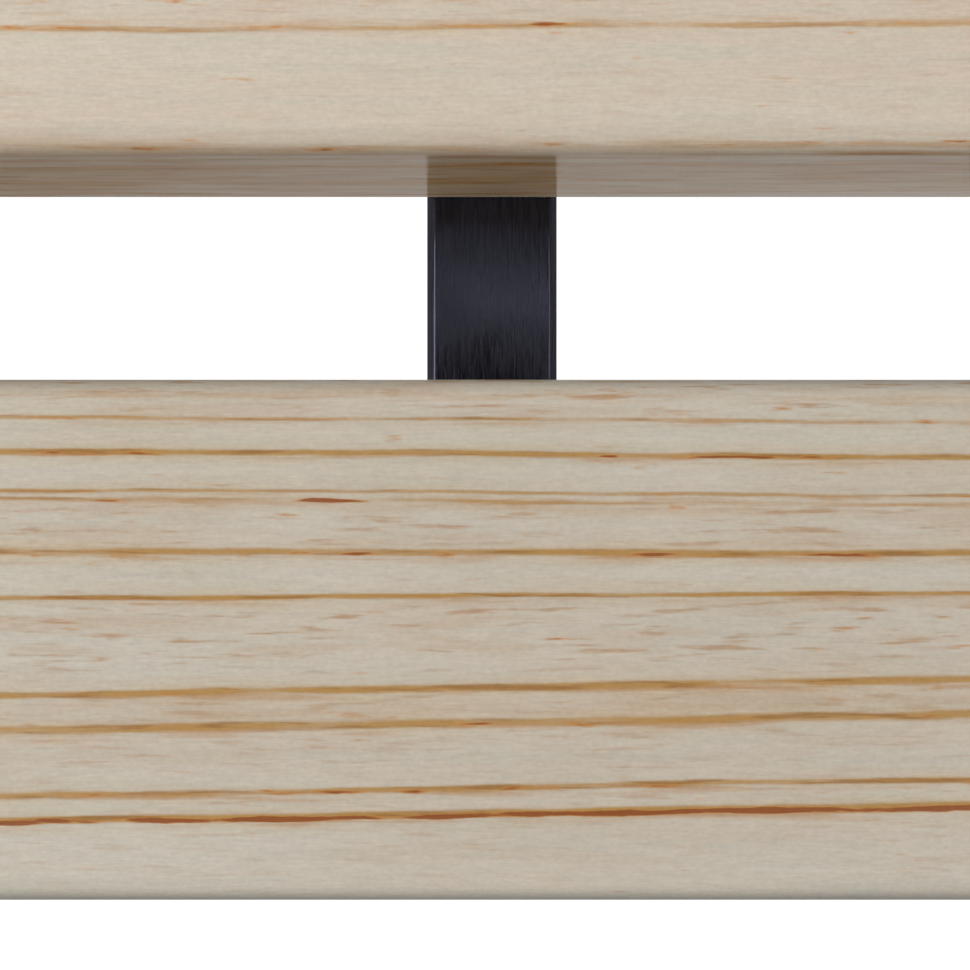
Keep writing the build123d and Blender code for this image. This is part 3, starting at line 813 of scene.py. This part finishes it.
def pine(number, low, high):
    """Varnished pine for one lath, with its own growth rings and painted shade and highlight on
    its rounded edges.
    """
    made, tree, shader, in_mm = material(f"pine_{number}")
    bar_low, bar_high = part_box("crossbar_left")
    centre = (low + high) / 2
    zero = Vector(((bar_low.x + bar_high.x) / 2, centre.y, centre.z)) / MM
    place = add(tree, "ShaderNodeVectorMath", {0: in_mm.outputs[0], 1: zero}, operation="SUBTRACT")
    pith = pith_of(number)
    above, below = FIRST_LEAN if number == 1 else OTHER_LEAN
    radius = use(
        tree,
        "timber_figure",
        {
            "Vector": in_mm.outputs[0],
            "Place": place.outputs[0],
            "Pith Y": pith[0],
            "Pith Z": pith[1],
            "Lean Above": above,
            "Lean Below": below,
            "Phase": 0.0 if number == 1 else WAVE_STEP * number,
        },
    )[0]
    along = add(tree, "ShaderNodeSeparateXYZ", {0: place.outputs[0]}).outputs["X"]
    slow = calc(tree, "SINE", calc(tree, "DIVIDE", along, TONE_LENGTH))
    face = (high.z - centre.z) / MM
    line, stain, tint, core = layered(tree, radius, face, pith, rings_of(number), 4)
    if number == 1:
        core = streaked(tree, core, radius, along, face, pith)
    flecks = FIRST_LATH_FLECKS if number == 1 else OTHER_FLECKS
    flecked = layered(tree, radius, face, pith, flecks, 1)[0]
    normal = add(tree, "ShaderNodeTexCoord").outputs["Normal"]
    facing = add(tree, "ShaderNodeSeparateXYZ", {0: normal}).outputs
    end = calc(tree, "POWER", calc(tree, "ABSOLUTE", facing["X"]), 4.0)
    pale = calc(tree, "MULTIPLY_ADD", slow, -TONE_DRIFT, PALE[number % len(PALE)])
    # Painted shade and painted highlight: the lath's upper and lower edges are drawn darker or
    # lighter than its own tone.
    upper, lower = PAINTED_EDGE_SHADE_AND_LIGHT.get(number, (1.0, 1.0))
    pale = calc(tree, "MULTIPLY", pale, spread(tree, facing["Y"], 0.25, 0.9, 1.0, upper))
    pale = calc(tree, "MULTIPLY", pale, spread(tree, facing["Y"], -0.25, -0.9, 1.0, lower))
    colour, rough, height = use(
        tree,
        "timber_colour",
        {
            "Vector": in_mm.outputs[0],
            "Line": line,
            "Stain": stain,
            "Tint": tint,
            "Core": core,
            "Flecked": flecked,
            "Rosy": ROSY[number % len(ROSY)],
            "Tone And Edge Shade": pale,
            "End": end,
        },
    )
    tree.links.new(colour, shader.inputs["Base Color"])
    tree.links.new(rough, shader.inputs["Roughness"])
    shader.inputs["Specular IOR Level"].default_value = 0.0
    shader.inputs["Coat Weight"].default_value = VARNISH
    shader.inputs["Coat Roughness"].default_value = VARNISH_ROUGH
    bump = add(tree, "ShaderNodeBump", {"Height": height, "Strength": 0.25, "Distance": 0.00005})
    tree.links.new(bump.outputs[0], shader.inputs["Normal"])
    return made


# ---------------------------------------------------------------- metals

BAR_BLACK = (0.0092, 0.0092, 0.0102, 1)
ROD_BLACK = (0.014, 0.014, 0.017, 1)
PLATE_BLACK = (0.015, 0.015, 0.018, 1)
WHEEL_BLACK = (0.020, 0.020, 0.021, 1)
BARE_STEEL = (0.30, 0.30, 0.31, 1)
ZINC = (0.62, 0.62, 0.60, 1)
BRASS = (0.72, 0.50, 0.20, 1)
# Painted reflection colour: the blue of the light that the black bar reflects, given to its sheen.
PAINTED_BLUE_SHEEN = (0.66, 0.66, 1.00, 1)
WHITE = (1, 1, 1, 1)
CHIP_REACH = 0.6 * MM


def worn_edge_group():
    """1 where paint has chipped off along an edge, in patches."""
    tree, taken, given = group(
        "worn_edge",
        [("Vector", "vector"), ("Reach", "value"), ("Amount", "value")],
        [("Worn", "value")],
    )
    rounded = add(tree, "ShaderNodeBevel", {"Radius": taken["Reach"]}, samples=4)
    flat = add(tree, "ShaderNodeNewGeometry").outputs["Normal"]
    facing = add(
        tree, "ShaderNodeVectorMath", {0: rounded.outputs[0], 1: flat}, operation="DOT_PRODUCT"
    ).outputs["Value"]
    edge = spread(tree, facing, 0.985, 0.90)
    chips = noise(tree, taken["Vector"], (1.6, 1.6, 1.6), 3.0, 0.65)
    limit = calc(tree, "SUBTRACT", 0.85, taken["Amount"])
    shown = calc(tree, "GREATER_THAN", calc(tree, "MULTIPLY_ADD", edge, 0.25, chips), limit)
    tree.links.new(calc(tree, "MULTIPLY", shown, edge), given["Worn"])


def painted_steel(name, colour, rough, grain, amount, gloss=0.5, chipped=0.0, sheen=WHITE):
    """Dark paint over steel: lines or mottling of a grain in mm, and chips along the edges."""
    made, tree, shader, in_mm = material(name)
    vector = in_mm.outputs[0]
    streak = noise(tree, vector, grain, 3.0, 0.6)
    level = spread(tree, streak, 0.3, 0.7, 1 - amount, 1 + amount, smooth=False)
    grey = add(tree, "ShaderNodeCombineColor", {0: level, 1: level, 2: level}).outputs[0]
    paint = blend_colour(tree, 1.0, colour, grey, "MULTIPLY")
    coarse = spread(tree, noise(tree, vector, (24, 24, 24), 3.0), 0.35, 0.7, -0.06, 0.08)
    dull = calc(tree, "ADD", calc(tree, "MULTIPLY_ADD", streak, 0.2, rough - 0.1), coarse)
    if chipped:
        reach = {"Vector": vector, "Reach": CHIP_REACH, "Amount": chipped}
        worn = use(tree, "worn_edge", reach)[0]
        paint = blend_colour(tree, worn, paint, BARE_STEEL)
        tree.links.new(calc(tree, "MULTIPLY", worn, 0.9), shader.inputs["Metallic"])
    tree.links.new(paint, shader.inputs["Base Color"])
    # Tints the reflections, which are real; a blue tint here is the painted colour of the
    # reflected light, not of the paint.
    shader.inputs["Specular Tint"].default_value = sheen
    tree.links.new(dull, shader.inputs["Roughness"])
    bump = add(tree, "ShaderNodeBump", {"Height": streak, "Strength": 0.35, "Distance": 0.00004})
    tree.links.new(bump.outputs[0], shader.inputs["Normal"])
    shader.inputs["Specular IOR Level"].default_value = gloss
    return made


def bare_metal(name, colour, rough, grain):
    """Plated or bare metal, its roughness uneven at the scale of its finish."""
    made, tree, shader, in_mm = material(name)
    uneven = noise(tree, in_mm.outputs[0], grain, 3.0, 0.6)
    shader.inputs["Metallic"].default_value = 1.0
    dull = tuple(0.72 * part for part in colour[:3]) + (1,)
    mottled = blend_colour(tree, spread(tree, uneven, 0.35, 0.7), colour, dull)
    tree.links.new(mottled, shader.inputs["Base Color"])
    satin = calc(tree, "MULTIPLY_ADD", uneven, 0.25, rough - 0.1)
    tree.links.new(satin, shader.inputs["Roughness"])
    return made


def make_finishes():
    """The materials of all but the timber, by slot."""
    return {
        "black_bar": painted_steel(
            "black_bar", BAR_BLACK, 0.14, (0.25, 3.5, 60), 0.6, gloss=0.45, sheen=PAINTED_BLUE_SHEEN
        ),
        "black_rod": painted_steel("black_rod", ROD_BLACK, 0.34, (2, 2, 12), 0.3),
        "black_plate": painted_steel(
            "black_plate", PLATE_BLACK, 0.40, (0.7, 0.7, 0.7), 0.3, chipped=0.22
        ),
        "cast_wheel": painted_steel(
            "cast_wheel", WHEEL_BLACK, 0.48, (0.5, 0.5, 0.5), 0.4, chipped=0.30
        ),
        "plated_steel": bare_metal("plated_steel", ZINC, 0.28, (3, 3, 3)),
        "brass": bare_metal("brass", BRASS, 0.3, (3, 3, 3)),
    }


def dress_cad_nodes(finishes):
    """Gives each carried-over piece the material of its slot."""
    for part in frame["record"]["subparts"]:
        finish = finishes.get(part["material_slot"])
        if finish:
            mesh = frame["nodes"][part["node"]].data
            mesh.materials.clear()
            mesh.materials.append(finish)


# ---------------------------------------------------------------- the scene

bpy.context.scene.view_settings.view_transform = "Standard"
place_camera()
make_world()
make_floor()
place_lights()
growth_ring_group()
timber_figure_group()
timber_colour_group()
worn_edge_group()
metals = make_finishes()
make_laths()
make_bars(metals["black_bar"])
make_screws(metals["plated_steel"])
dress_cad_nodes(metals)
